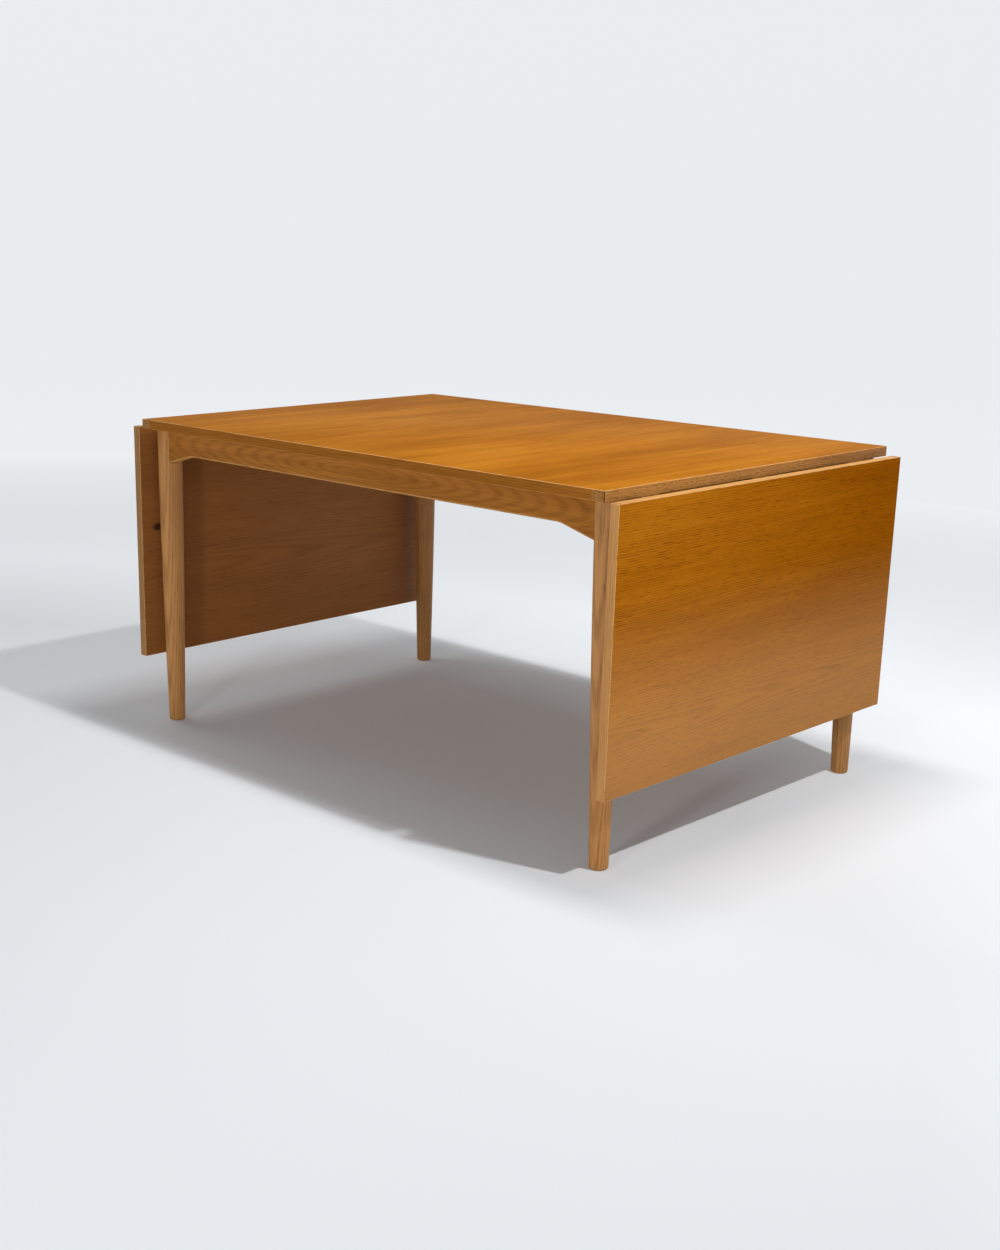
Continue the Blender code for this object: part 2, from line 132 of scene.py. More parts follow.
# %% Studio
FLOOR_RADIUS, COVE_RADIUS, WALL_HEIGHT = 6.5, 2.5, 3.6
COVE_STEPS, SPIN_STEPS = 12, 64
PAPER, FAR_PAPER = (0.845, 0.875, 0.905, 1), (0.04, 0.04, 0.04, 1)
GLOW = (0.80, 0.825, 0.85, 1)
GLOW_FROM, GLOW_REACH, FADE_REACH = (-0.4, -2.0, 0.0), (2.3, 5.9), (3.2, 6.0)
AIR_COLOUR, AIR_STRENGTH = (0.97, 0.99, 1.0, 1), 0.17
LAMPS = {
    "key": {"place": (2.35, -0.04, 3.4), "aim_at": (-1.2, 0.0, 0.0), "size": (0.12, 0.12), "watts": 66.0},
    "overhead": {"place": (0.24, -0.04, 3.4), "aim_at": (0.24, -0.04, 0.0), "size": (1.0, 0.4),
                 "watts": 35.0},
    "fill": {"place": (-3.0, -0.5, 3.2), "aim_at": (-1.2, 0.0, 0.0), "size": (1.6, 1.6), "watts": 20.0},
    "front": {"place": (1.37, -3.70, 0.90), "aim_at": (-0.4, -0.2, 0.4), "size": (0.26, 0.26),
              "watts": 22.0},
}


def cove():
    bm = bmesh.new()
    profile = [(0.0, 0.0), (FLOOR_RADIUS, 0.0)]
    for step in range(1, COVE_STEPS + 1):
        angle = math.radians(90 * step / COVE_STEPS)
        rise = COVE_RADIUS * (1 - math.cos(angle))
        profile.append((FLOOR_RADIUS + COVE_RADIUS * math.sin(angle), rise))
    profile.append((FLOOR_RADIUS + COVE_RADIUS, WALL_HEIGHT))
    verts = [bm.verts.new((x, 0.0, z)) for x, z in profile]
    edges = [bm.edges.new(pair) for pair in zip(verts, verts[1:])]
    bmesh.ops.spin(
        bm, geom=verts + edges, axis=(0, 0, 1), cent=(0, 0, 0), angle=2 * math.pi,
        steps=SPIN_STEPS, use_merge=True,
    )
    bmesh.ops.remove_doubles(bm, verts=bm.verts, dist=0.0005)
    bmesh.ops.recalc_face_normals(bm, faces=bm.faces)
    mesh = bpy.data.meshes.new("studio_cove")
    bm.to_mesh(mesh)
    bm.free()
    mesh.shade_smooth()
    made = bpy.data.objects.new("studio_cove", mesh)
    bpy.context.scene.collection.objects.link(made)
    return made


def lamp(name, place, aim_at, size, watts):
    """An oblong lamp, its long side along X, that the camera doesn't see."""
    light = bpy.data.lights.new(name, "AREA")
    light.shape = "RECTANGLE"
    light.size, light.size_y = size
    light.energy = watts
    made = bpy.data.objects.new(name, light)
    towards = (Vector(aim_at) - Vector(place)).normalized()
    side = (Vector((1, 0, 0)) - towards * towards.x).normalized()
    made.matrix_world = Matrix.Translation(place) @ Matrix(
        (side, side.cross(towards), -towards)).transposed().to_4x4()
    made.visible_camera = False
    bpy.context.scene.collection.objects.link(made)


def cove_paper():
    paper = bpy.data.materials.new("cove_paper")
    paper.use_nodes = True
    nodes, links = paper.node_tree.nodes, paper.node_tree.links
    shader = nodes["Principled BSDF"]
    shader.inputs["Roughness"].default_value = 0.9
    shader.inputs["Specular IOR Level"].default_value = 0.1
    shader.inputs["Emission Color"].default_value = GLOW
    place = nodes.new("ShaderNodeTexCoord")
    far = nodes.new("ShaderNodeVectorMath")
    far.operation = "DISTANCE"
    far.inputs[1].default_value = GLOW_FROM
    glow, fade = (nodes.new("ShaderNodeMapRange") for _ in range(2))
    for share, reach in ((glow, GLOW_REACH), (fade, FADE_REACH)):
        share.inputs["From Min"].default_value, share.inputs["From Max"].default_value = reach
        links.new(far.outputs["Value"], share.inputs["Value"])
    base = nodes.new("ShaderNodeMix")
    base.data_type = "RGBA"
    base.inputs[6].default_value = PAPER
    base.inputs[7].default_value = FAR_PAPER
    links.new(place.outputs["Object"], far.inputs[0])
    links.new(fade.outputs[0], base.inputs[0])
    links.new(base.outputs[2], shader.inputs["Base Color"])
    links.new(glow.outputs[0], shader.inputs["Emission Strength"])
    return paper


stage = cove()
stage.data.materials.append(cove_paper())
stage.visible_shadow = False
for lamp_name, settings in LAMPS.items():
    lamp(lamp_name, **settings)
world = bpy.data.worlds.new("studio_air")
world.use_nodes = True
world.node_tree.nodes["Background"].inputs["Color"].default_value = AIR_COLOUR
world.node_tree.nodes["Background"].inputs["Strength"].default_value = AIR_STRENGTH
bpy.context.scene.world = world
bpy.context.scene.view_settings.view_transform = "Standard"
print("studio: round cove,", 2 * (FLOOR_RADIUS + COVE_RADIUS), "m across,", len(LAMPS), "lamps")

# %% [markdown]
# ## Words for finishes
#
# A wood finish is a dozen small steps: turn the coordinates so that the grain runs along the
# first axis, stretch them, lay rings, fibres and pores, and mix their colours. A small class
# keeps those steps short enough to read. A value goes on a socket as it is, and the output of
# another node is linked.


# %% Words for finishes
class Finish:
    """One material, and short words for the nodes that make it."""

    def __init__(self, name):
        self.material = bpy.data.materials.new(name)
        self.material.use_nodes = True
        self.tree = self.material.node_tree
        self.shader = self.tree.nodes["Principled BSDF"]

    def put(self, socket, value):
        if isinstance(value, bpy.types.NodeSocket):
            self.tree.links.new(value, socket)
        else:
            socket.default_value = value

    def node(self, kind, inputs, **settings):
        made = self.tree.nodes.new(kind)
        for key, value in settings.items():
            setattr(made, key, value)
        for key, value in inputs.items():
            self.put(made.inputs[key], value)
        return made

    def sum(self, operation, *values):
        made = self.node("ShaderNodeMath", dict(enumerate(values)), operation=operation)
        return made.outputs[0]

    def point(self, x, y, z):
        return self.node("ShaderNodeCombineXYZ", {"X": x, "Y": y, "Z": z}).outputs[0]

    def stretched(self, place, scale):
        made = self.node("ShaderNodeMapping", {"Vector": place, "Scale": scale})
        return made.outputs[0]

    def noise(self, place, scale, detail=2.0, roughness=0.5):
        inputs = {"Vector": self.stretched(place, scale), "Scale": 1.0}
        inputs.update({"Detail": detail, "Roughness": roughness})
        return self.node("ShaderNodeTexNoise", inputs).outputs["Fac"]

    def rise(self, value, low, high, start=0.0, end=1.0):
        """A value eased from start to end as it climbs from low to high."""
        inputs = {"Value": value, "From Min": low, "From Max": high, "To Min": start, "To Max": end}
        return self.node("ShaderNodeMapRange", inputs, interpolation_type="SMOOTHSTEP").outputs[0]

    def blend(self, share, first, second, kind="MIX"):
        colours = [value if isinstance(value, bpy.types.NodeSocket) else (*value, 1.0)
                   for value in (first, second)]
        inputs = {0: share, 6: colours[0], 7: colours[1]}
        made = self.node("ShaderNodeMix", inputs, data_type="RGBA", blend_type=kind)
        return made.outputs[2]

    def shade(self, colour, amount):
        """A colour times a number."""
        grey = self.point(amount, amount, amount)
        return self.blend(1.0, colour, grey, "MULTIPLY")


print("finish words ready")

# %% [markdown]
# ## Oak
#
# A plank is a slice through a stack of cones: the growth rings. Cut nearly along the trunk, the
# rings show as long, slightly wandering lines, and where the cut leans they close into arches.
# So the finish works out how far each point is from the pith, an axis that lies some way under
# the surface and leans a little against the grain, and counts the rings from there.
#
# Oak has large pores in the spring part of each ring. They are cut open lengthwise and show as
# short dark dashes. Between them run fine fibres, and over the whole board the tone drifts in
# long patches. The arrises are paler, partly from wear where hands and cloths rub and partly as a
# painted highlight where the eased edge catches the light: the pieces below mark those narrow
# faces with an attribute, and the finish reads it. End grain is darker, because it drinks the
# oil, and has no dashes but specks.


# %% Oak
KNOT_BROWN, SEAM_BROWN = (0.035, 0.016, 0.008), (0.075, 0.032, 0.014)


def growth_rings(f, along, across, deep, ring, lean, depth, grain):
    """One at a ring's edge, where the pores crowd, and nothing in the middle of its late wood."""
    below = f.sum("ADD", deep, f.sum("MULTIPLY_ADD", along, lean, depth))
    far = f.node("ShaderNodeVectorMath", {0: f.point(0.0, across, below)}, operation="LENGTH")
    count = f.sum("DIVIDE", far.outputs["Value"], ring)
    count = f.sum("MULTIPLY_ADD", f.noise(grain, (0.9, 14.0, 14.0)), 1.5, count)
    middle = f.sum("SUBTRACT", f.sum("FRACT", count), 0.5)
    return f.rise(f.sum("ABSOLUTE", middle), 0.15, 0.48)


def around_knot(f, along, across, knot):
    """Fibres part round a knot. knot is its place along and across the grain, and its radius."""
    there = f.point(f.sum("SUBTRACT", along, knot[0]), f.sum("SUBTRACT", across, knot[1]), 0.0)
    squeezed = f.stretched(there, (0.55, 1.0, 1.0))
    far = f.node("ShaderNodeVectorMath", {0: squeezed}, operation="LENGTH").outputs["Value"]
    push = f.rise(far, 5.0 * knot[2], 0.0, 0.0, 0.8 * knot[2])
    side = f.sum("SUBTRACT", across, knot[1])
    across = f.sum("SUBTRACT", across, f.sum("MULTIPLY", push, f.sum("SIGN", side)))
    ragged = f.noise(there, (220.0, 220.0, 220.0), 3.0)
    edge = f.sum("MULTIPLY_ADD", ragged, 1.1 * knot[2], far)
    return across, f.rise(edge, 1.9 * knot[2], 1.0 * knot[2], 0.0, 0.93)


def oak(name, order, light, dark, pore, ring=0.006, lean=0.02, depth=0.12, centre=0.0,
        surface=0.0, sway=0.010, drift=0.5, streak=0.5, ring_share=0.2, pore_share=0.5,
        roughness=0.45, gloss=0.2, arris=(0.75, 0.42, 0.17), knot=None, fade=None, fold=False,
        pore_length=1.0):
    """order says which axes run along the grain, across it and into the board."""
    f = Finish(name)
    place = f.node("ShaderNodeTexCoord", {})
    axes = f.node("ShaderNodeSeparateXYZ", {"Vector": place.outputs["Object"]})
    along, across, deep = (axes.outputs[axis] for axis in order)
    bend = f.sum("MULTIPLY_ADD", f.noise(f.point(along, across, deep), (1.7, 2.6, 2.6)),
                 2 * sway, -sway)
    across = f.sum("ADD", across, bend)
    if knot:
        across, knot_mark = around_knot(f, along, across, knot)
    grain = f.point(along, across, deep)
    beside = f.sum("SUBTRACT", f.sum("ABSOLUTE", across) if fold else across, centre)
    inwards = f.sum("SUBTRACT", f.sum("ABSOLUTE", deep), surface)
    spring = growth_rings(f, along, beside, inwards, ring, lean, depth, grain)

    fibres = f.noise(grain, (5.0, 330.0, 330.0), 3.0, 0.6)
    streaks = f.noise(grain, (1.6, 34.0, 34.0), 4.0, 0.6)
    tone = f.noise(grain, (1.8, 6.0, 6.0), 4.0, 0.6)
    fine = f.noise(grain, (34.0 / pore_length, 950.0, 950.0), 1.0)
    bold = f.noise(grain, (16.0 / pore_length, 430.0, 430.0), 1.0)
    fine, bold = f.rise(fine, 0.53, 0.68, 0.0, 0.75), f.rise(bold, 0.56, 0.70)
    pores = f.sum("MULTIPLY", f.sum("MAXIMUM", fine, bold), f.rise(spring, 0.0, 0.8, 0.25, 1.0))

    level = f.sum("MULTIPLY_ADD", f.sum("SUBTRACT", 0.4, spring), ring_share, 0.5)
    level = f.sum("MULTIPLY_ADD", f.sum("SUBTRACT", fibres, 0.5), 0.9, level)
    level = f.sum("MULTIPLY_ADD", f.sum("SUBTRACT", streaks, 0.5), 2.0 * streak, level)
    level = f.sum("MULTIPLY_ADD", f.sum("SUBTRACT", tone, 0.5), 2.0 * drift, level)
    colour = f.blend(f.rise(level, 0.0, 1.0), dark, light)
    colour = f.blend(f.sum("MULTIPLY", pores, pore_share), colour, pore)
    if fade:
        colour = fade(f, axes, colour)
    if knot:
        colour = f.blend(knot_mark, colour, KNOT_BROWN)

    normals = f.node("ShaderNodeSeparateXYZ", {"Vector": place.outputs["Normal"]})
    end_grain = f.rise(f.sum("ABSOLUTE", normals.outputs[order[0]]), 0.6, 0.9)
    specks = f.rise(f.noise(f.point(across, deep, along), (650.0, 650.0, 40.0), 2.0), 0.45, 0.65)
    end_colour = f.blend(specks, colour, f.shade(colour, 0.5))
    colour = f.blend(end_grain, colour, end_colour)
    # The arris mark is paler: partly wear, partly a painted highlight where the eased edge catches the
    # light.
    wear_and_highlight = f.node("ShaderNodeAttribute", {}, attribute_name="arris").outputs["Fac"]
    wear_and_highlight_patches = f.rise(f.noise(grain, (30.0, 30.0, 30.0), 3.0), 0.30, 0.55, 0.4, 0.95)
    colour = f.blend(f.sum("MULTIPLY", wear_and_highlight, wear_and_highlight_patches), colour, arris)
    seam = f.node("ShaderNodeAttribute", {}, attribute_name="seam").outputs["Fac"]
    colour = f.blend(seam, colour, SEAM_BROWN)

    f.put(f.shader.inputs["Base Color"], colour)
    f.put(f.shader.inputs["Roughness"], f.sum("MULTIPLY_ADD", pores, 0.18, roughness))
    f.shader.inputs["Specular IOR Level"].default_value = gloss
    height = f.sum("SUBTRACT", f.sum("MULTIPLY", fibres, 0.3), pores)
    bump = f.node("ShaderNodeBump", {"Strength": 0.35, "Distance": 0.0004, "Height": height})
    f.put(f.shader.inputs["Normal"], bump.outputs[0])
    return f.material


print("oak words ready")

# %% [markdown]
# ## The finishes
#
# All the oak is one oiled wood, but its tone differs from part to part. The top is the most
# golden, the hanging faces are browner, the inner faces are dark and red, and the solid frame
# is a quieter brown.
#
# Three finishes also change along their piece. That is a correction, fitted area by area: the
# lamps here leave some places lighter or redder than they should look, and how much of the
# change is in the wood itself isn't known. Because it is in the finish and not in the light,
# it stays on the wood when a leaf is raised. For a neutral oak, leave out the fade.


# %% The finishes
def painted_light_outer_face(f, axes, colour):
    """Paints light and shade on the outer face: golden at the front, browner at the back, pinkish brown
    below.
    """
    back = f.rise(axes.outputs["Y"], -0.45, 0.45)
    upper = f.blend(1.0, colour, f.blend(back, (1.16, 1.04, 0.80), (0.76, 0.60, 0.20)), "MULTIPLY")
    low = f.rise(axes.outputs["Z"], 0.55, 0.20, 0.0, 0.8)
    return f.blend(low, upper, f.blend(0.35, colour, (0.76, 0.42, 0.205)))


def darker_left(f, axes, colour):
    """Tints the upright edges darker towards the left, which the lamps leave too light."""
    return f.shade(colour, f.rise(axes.outputs["X"], -0.7, 0.7, 0.64, 1.0))


def darker_behind(f, axes, colour):
    """Tints the legs darker towards the back, which the lamps leave too light."""
    return f.shade(colour, f.rise(axes.outputs["Y"], -0.4, 0.4, 1.05, 0.78))


TOP_OAK = oak("oak_top_veneer", "YXZ", (0.53, 0.195, 0.015), (0.34, 0.110, 0.007),
              (0.22, 0.070, 0.007), surface=0.72, ring=0.006, lean=0.02, depth=0.10, centre=-0.30,
              drift=0.8, streak=0.55, ring_share=0.12, pore_share=0.4, roughness=0.5, gloss=0.005,
              pore_length=0.7)
LEAF_OUT_OAK = oak("oak_leaf_outer_veneer", "YZX", (0.42, 0.157, 0.010), (0.27, 0.090, 0.004),
                   (0.13, 0.043, 0.004), surface=0.7245, ring=0.0045, lean=0.02, depth=0.05,
                   centre=0.27, sway=0.012, drift=0.4, streak=0.3, pore_share=0.75, gloss=0.0,
                   fade=painted_light_outer_face, pore_length=0.5)
LEAF_IN_OAK = oak("oak_leaf_inner_veneer", "YZX", (0.33, 0.122, 0.030), (0.24, 0.087, 0.019),
                  (0.14, 0.050, 0.013), surface=0.7035, ring=0.005, lean=0.02, depth=0.06,
                  centre=0.35, drift=0.3, streak=0.3, gloss=0.10, knot=(-0.420, 0.4615, 0.009))
EDGE_X_OAK = oak("oak_edge_along_x", "XZY", (0.39, 0.140, 0.018), (0.25, 0.085, 0.010),
                 (0.12, 0.040, 0.007), surface=0.465, ring=0.005, lean=0.01, gloss=0.02,
                 arris=(0.50, 0.22, 0.05))
EDGE_Y_OAK = oak("oak_edge_along_y", "YZX", (0.54, 0.250, 0.062), (0.31, 0.133, 0.034),
                 (0.14, 0.060, 0.020), surface=0.69, ring=0.004, lean=0.01, pore_share=1.0,
                 gloss=0.05, pore_length=0.25)
EDGE_Z_OAK = oak("oak_edge_along_z", "ZXY", (0.64, 0.32, 0.10), (0.46, 0.205, 0.06),
                 (0.24, 0.10, 0.03), surface=0.465, ring=0.004, lean=0.01, sway=0.004,
                 streak=0.6, gloss=0.15, fade=darker_left)
# The leaf's hinge edge is pale new oak, made paler still with painted light where the lamps catch its
# top.
PALE_LIT_EDGE_OAK = oak("oak_hinge_edge_painted_light", "YZX", (0.82, 0.44, 0.14), (0.62, 0.30, 0.09),
                      (0.34, 0.16, 0.05), surface=0.70, ring=0.004, lean=0.01, gloss=0.10)
APRON_OAK = oak("oak_apron", "XZY", (0.44, 0.167, 0.026), (0.29, 0.102, 0.013),
                (0.15, 0.055, 0.011), surface=0.429, ring=0.0055, lean=0.10, depth=0.0,
                centre=0.672, sway=0.009, ring_share=0.20, streak=0.6, gloss=0.05,
                arris=(0.50, 0.24, 0.07))
RAIL_OAK = oak("oak_end_rail", "YZX", (0.46, 0.19, 0.05), (0.32, 0.12, 0.028),
               (0.18, 0.065, 0.018), surface=0.678, ring=0.006, lean=0.05, gloss=0.15)
LEG_OAK = oak("oak_leg", "ZXY", (0.56, 0.265, 0.082), (0.40, 0.172, 0.047),
              (0.20, 0.08, 0.024), surface=0.411, ring=0.0045, lean=0.02, depth=0.06,
              centre=0.66, sway=0.004, streak=0.4, ring_share=0.35, pore_share=0.6, gloss=0.2,
              fade=darker_behind, fold=True)
UNDER_OAK = oak("oak_under_veneer", "YXZ", (0.52, 0.30, 0.14), (0.40, 0.21, 0.09),
                (0.24, 0.12, 0.05), gloss=0.1, roughness=0.6)
BEECH = oak("beech_waxed", "XYZ", (0.62, 0.38, 0.20), (0.50, 0.28, 0.14),
            (0.36, 0.18, 0.08), ring=0.007, pore_share=0.25, gloss=0.25,
            arris=(0.74, 0.52, 0.32))


def metal(name, colour, roughness):
    """Old metal: its polish is uneven, and it is darker where it was never touched."""
    f = Finish(name)
    place = f.node("ShaderNodeTexCoord", {}).outputs["Object"]
    tarnish = f.rise(f.noise(place, (90.0, 90.0, 90.0), 4.0, 0.6), 0.35, 0.70)
    dull = tuple(0.45 * value for value in colour)
    f.put(f.shader.inputs["Base Color"], f.blend(tarnish, colour, dull))
    f.put(f.shader.inputs["Roughness"], f.sum("MULTIPLY_ADD", tarnish, 0.22, roughness))
    f.shader.inputs["Metallic"].default_value = 1.0
    scratches = f.noise(place, (300.0, 2600.0, 2600.0), 2.0)
    bump = f.node("ShaderNodeBump", {"Strength": 0.15, "Distance": 0.0001, "Height": scratches})
    f.put(f.shader.inputs["Normal"], bump.outputs[0])
    return f.material


BRASS = metal("aged_brass", (0.72, 0.50, 0.22), 0.30)
STEEL = metal("screw_steel", (0.55, 0.54, 0.52), 0.35)
print("finishes:", len(bpy.data.materials))

# %% [markdown]
# ## Boards
#
# A board is a block with its arrises eased. The real one gets a pass of the plane along the
# edges that hands can reach, and keeps its glued edges sharp. So the maker of boards takes a
# rule that says which edges are eased, and a bevel does the rest. The narrow new faces are the
# ones that lean, and they are marked as arris for the finish.


# %% Boards
def mark_arrises(bm):
    """Faces that face along no axis are the eased ones."""
    mark = bm.faces.layers.float.new("arris")
    bm.normal_update()
    for face in bm.faces:
        square = max(abs(value) for value in face.normal) > 0.995
        face[mark] = 0.0 if square else 1.0


def piece(name, bm, finish, body, replaces=()):
    """Turns a bmesh into a piece that rides on a body and stands for CAD nodes."""
    mesh = bpy.data.meshes.new(name)
    bm.to_mesh(mesh)
    bm.free()
    mesh.materials.append(finish)
    made = bpy.data.objects.new(name, mesh)
    bpy.context.scene.collection.objects.link(made)
    mesh.shade_smooth()
    mesh.set_sharp_from_angle(angle=math.radians(40))
    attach(made, body)
    if replaces:
        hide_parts(*replaces)
    return made


def block(low, high):
    bm = bmesh.new()
    size = high - low
    place = Matrix.Translation((low + high) / 2) @ Matrix.Diagonal((*size, 1.0))
    bmesh.ops.create_cube(bm, size=1.0, matrix=place)
    return bm


def ease(bm, chosen, amount, segments=2):
    edges = [edge for edge in bm.edges if chosen(*(vert.co for vert in edge.verts))]
    bmesh.ops.bevel(
        bm, geom=edges, offset=amount, segments=segments, profile=0.5, affect="EDGES",
        material=-1, clamp_overlap=True,
    )
    mark_arrises(bm)


def near(value, target):
    return abs(value - target) < 1e-5


def both(axis, value):
    """A rule: the edge lies in the plane where this coordinate has this value."""
    return lambda a, b: near(getattr(a, axis), value) and near(getattr(b, axis), value)


def no_edge(a, b):
    """A rule for a piece that is glued on every side."""
    return False


def either(*rules):
    return lambda a, b: any(rule(a, b) for rule in rules)


def every(*rules):
    return lambda a, b: all(rule(a, b) for rule in rules)


print("boards ready")

# %% [markdown]
# ## The top
#
# The face veneer covers the whole top, out to the edge, so no joint shows from above. Along the
# long sides the solid lipping shows under it, and at each corner the end lipping's end grain
# shows as a small darker block with a slanted joint. The top arris is a pale line, partly wear
# and partly a painted highlight. The upright corner between the long side and the end shows as
# a dark seam.

# %% The top
EASE_TOP = 0.0008
EASE_EDGE = 0.0012
EASE_SEAM = 0.0015
SLANT = 0.003


def make_top_veneer():
    bm = block(Vector((TOP_LOW.x, TOP_LOW.y, TOP_LOW.z - CAD_GAP + HAIRLINE)), TOP_HIGH)
    ease(bm, both("z", TOP_HIGH.z), EASE_TOP)
    return piece("top_face_veneer", bm, TOP_OAK, "table_frame", ["top_veneer"])


def make_long_lipping(face):
    node = f"top_lipping_{face}"
    low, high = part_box(node)
    closer = Vector((CAD_GAP - HAIRLINE, 0, 0))
    bm = block(low - closer, high + closer)
    for vert in bm.verts:
        if near(vert.co.z, low.z):
            vert.co.x -= math.copysign(SLANT, vert.co.x)
    ease(bm, every(both("y", FACES[face] * TOP_HIGH.y), both("z", low.z)), EASE_EDGE)
    return piece(f"{node}_eased", bm, EDGE_X_OAK, "table_frame", [node])


def make_end_lipping(side):
    node = f"top_lipping_{side}"
    low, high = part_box(node)
    inner, outer = (low.x, high.x) if SIDES[side] > 0 else (high.x, low.x)
    bm = block(low, high)
    for vert in bm.verts:
        if near(vert.co.x, inner) and near(vert.co.z, high.z):
            vert.co.x += SIDES[side] * SLANT
    corners = every(both("x", outer), either(both("y", low.y), both("y", high.y)))
    ease(bm, corners, EASE_SEAM)
    seam = bm.faces.layers.float.new("seam")
    mark = bm.faces.layers.float["arris"]
    for bent in bm.faces:
        bent[seam] = bent[mark] if abs(bent.normal.z) < 0.01 and abs(bent.normal.y) > 0.01 else 0.0
        bent[mark] = 0.0
    return piece(f"{node}_eased", bm, EDGE_Y_OAK, "table_frame", [node])


make_top_veneer()
for face_name in FACES:
    make_long_lipping(face_name)
for side_name in SIDES:
    make_end_lipping(side_name)
print("top: veneer and four lippings")

# %% [markdown]
# ## The legs
#
# A turned leg is a profile spun about its axis. The blank stays parallel where the rails meet
# it, then tapers towards the foot, slowly at first and faster below, which keeps it from
# looking swollen. The foot's arris is rounded so that it slides and doesn't splinter.

# %% The legs
FOOT_RADIUS = 0.0185
TAPER_START = 0.600
TAPER_POWER = 1.5
FOOT_ROUND = 0.005
LEG_STEPS = 96
FOOT_STEPS, TAPER_STEPS = 6, 32


def leg_radius(height):
    share = (1 - min(height / TAPER_START, 1.0)) ** TAPER_POWER
    return LEG_RADIUS - (LEG_RADIUS - FOOT_RADIUS) * share


def leg_profile():
    """From the middle of the foot, round its arris and up the outside to the top's middle."""
    points = [(0.0, 0.0)]
    edge = leg_radius(FOOT_ROUND) - FOOT_ROUND
    for step in range(FOOT_STEPS + 1):
        angle = math.radians(90 * step / FOOT_STEPS)
        points.append((edge + FOOT_ROUND * math.sin(angle), FOOT_ROUND * (1 - math.cos(angle))))
    for step in range(1, TAPER_STEPS + 1):
        height = FOOT_ROUND + (TAPER_START - FOOT_ROUND) * step / TAPER_STEPS
        points.append((leg_radius(height), height))
    points += [(LEG_RADIUS, LEG_HIGH.z), (0.0, LEG_HIGH.z)]
    return points


def make_leg(face, side):
    bm = bmesh.new()
    verts = [bm.verts.new((radius, 0.0, z)) for radius, z in leg_profile()]
    edges = [bm.edges.new(pair) for pair in zip(verts, verts[1:])]
    bmesh.ops.spin(
        bm, geom=verts + edges, axis=(0, 0, 1), cent=(0, 0, 0), angle=2 * math.pi,
        steps=LEG_STEPS, use_merge=True,
    )
    bmesh.ops.remove_doubles(bm, verts=bm.verts, dist=1e-6)
    bmesh.ops.recalc_face_normals(bm, faces=bm.faces)
    place = Vector((SIDES[side] * LEG_X, FACES[face] * LEG_Y, 0.0))
    bmesh.ops.translate(bm, verts=bm.verts, vec=place)
    node = f"leg_{face}_{side}"
    return piece(f"{node}_turned", bm, LEG_OAK, "table_frame", [node])


for face_name in FACES:
    for side_name in SIDES:
        turned = make_leg(face_name, side_name)
print("legs:", len(turned.data.polygons), "faces each")

# %% [markdown]
# ## The aprons
#
# The long rails are sawn to an arch: straight along the middle, then a round corner into a
# haunch that gives the leg joint its depth. The face is drawn as a row of upright strips, which
# stay flat however the lower edge turns, and is then given its thickness. It is cut into slices
# as well, because the shoulder at each end is hollowed to fit the round leg and that curve
# needs them. The lower arrises are rounded, so that knees meet no edge.

# %% The aprons
HAUNCH_DROP, HAUNCH_SLOPE, HAUNCH_RADIUS, HAUNCH_START = 0.023, math.radians(15.0), 0.060, 0.020
APRON_ROUND = 0.004
SHOULDER_SLICES = 8
HAUNCH_STEPS = 8


def haunch(reach, low):
    """The lower edge from the leg's middle inwards, as (along, height)."""
    start = reach - HAUNCH_START
    corner = start - HAUNCH_DROP / math.tan(HAUNCH_SLOPE)
    centre = corner - HAUNCH_RADIUS * math.tan(HAUNCH_SLOPE / 2)
    points = [(reach, low - HAUNCH_DROP), (start, low - HAUNCH_DROP)]
    for step in range(HAUNCH_STEPS + 1):
        angle = HAUNCH_SLOPE * (1 - step / HAUNCH_STEPS)
        height = low - HAUNCH_RADIUS * (1 - math.cos(angle))
        points.append((centre + HAUNCH_RADIUS * math.sin(angle), height))
    return points


def make_apron(face):
    node = f"apron_{face}"
    low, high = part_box(node)
    middle_low = low.z + HAUNCH_DROP
    right = haunch(LEG_X, middle_low)
    stations = [(-x, z) for x, z in right] + list(reversed(right))
    bm = bmesh.new()
    lower = [bm.verts.new((x, low.y, z)) for x, z in stations]
    upper = [bm.verts.new((x, low.y, high.z)) for x, z in stations]
    for corners in zip(lower, lower[1:], upper[1:], upper):
        bm.faces.new(corners)
    grown = bmesh.ops.extrude_face_region(bm, geom=list(bm.faces))["geom"]
    verts = [item for item in grown if isinstance(item, bmesh.types.BMVert)]
    bmesh.ops.translate(bm, verts=verts, vec=(0, high.y - low.y, 0))
    bmesh.ops.recalc_face_normals(bm, faces=bm.faces)
    rims = either(both("y", low.y), both("y", high.y))
    ease(bm, lambda a, b: rims(a, b) and max(a.z, b.z) < middle_low + 0.001, APRON_ROUND, 4)
    for step in range(1, SHOULDER_SLICES):
        cut = Vector((0, low.y + (high.y - low.y) * step / SHOULDER_SLICES, 0))
        everything = list(bm.verts) + list(bm.edges) + list(bm.faces)
        bmesh.ops.bisect_plane(bm, geom=everything, plane_co=cut, plane_no=(0, 1, 0))
    for vert in bm.verts:
        if near(abs(vert.co.x), LEG_X):
            off = abs(vert.co.y) - LEG_Y
            hollow = math.sqrt(LEG_RADIUS ** 2 - off ** 2) + HAIRLINE
            vert.co.x -= math.copysign(hollow, vert.co.x)
    return piece(f"{node}_sawn", bm, APRON_OAK, "table_frame", [node])


for face_name in FACES:
    apron = make_apron(face_name)
print("aprons:", len(apron.data.polygons), "faces each")

# %% [markdown]
# ## The leaves
#
# A leaf is made like the top: a core, lippings all round, and a veneer on each face. Here the
# front and back lippings run the whole height, so their grain stands upright at the corners.
# The left leaf hangs plumb, and its boxes in the frame give every size. The right one is the
# same leaf turned end for end, and it hangs a little inwards, so its pieces are the left one's,
# mirrored and then turned about the hinge line.

# %% The leaves
EASE_LEAF = 0.0008
LEAF_LOW, LEAF_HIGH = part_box("leaf_left_outer_veneer")
LEAF_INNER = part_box("leaf_left_inner_veneer")[1].x


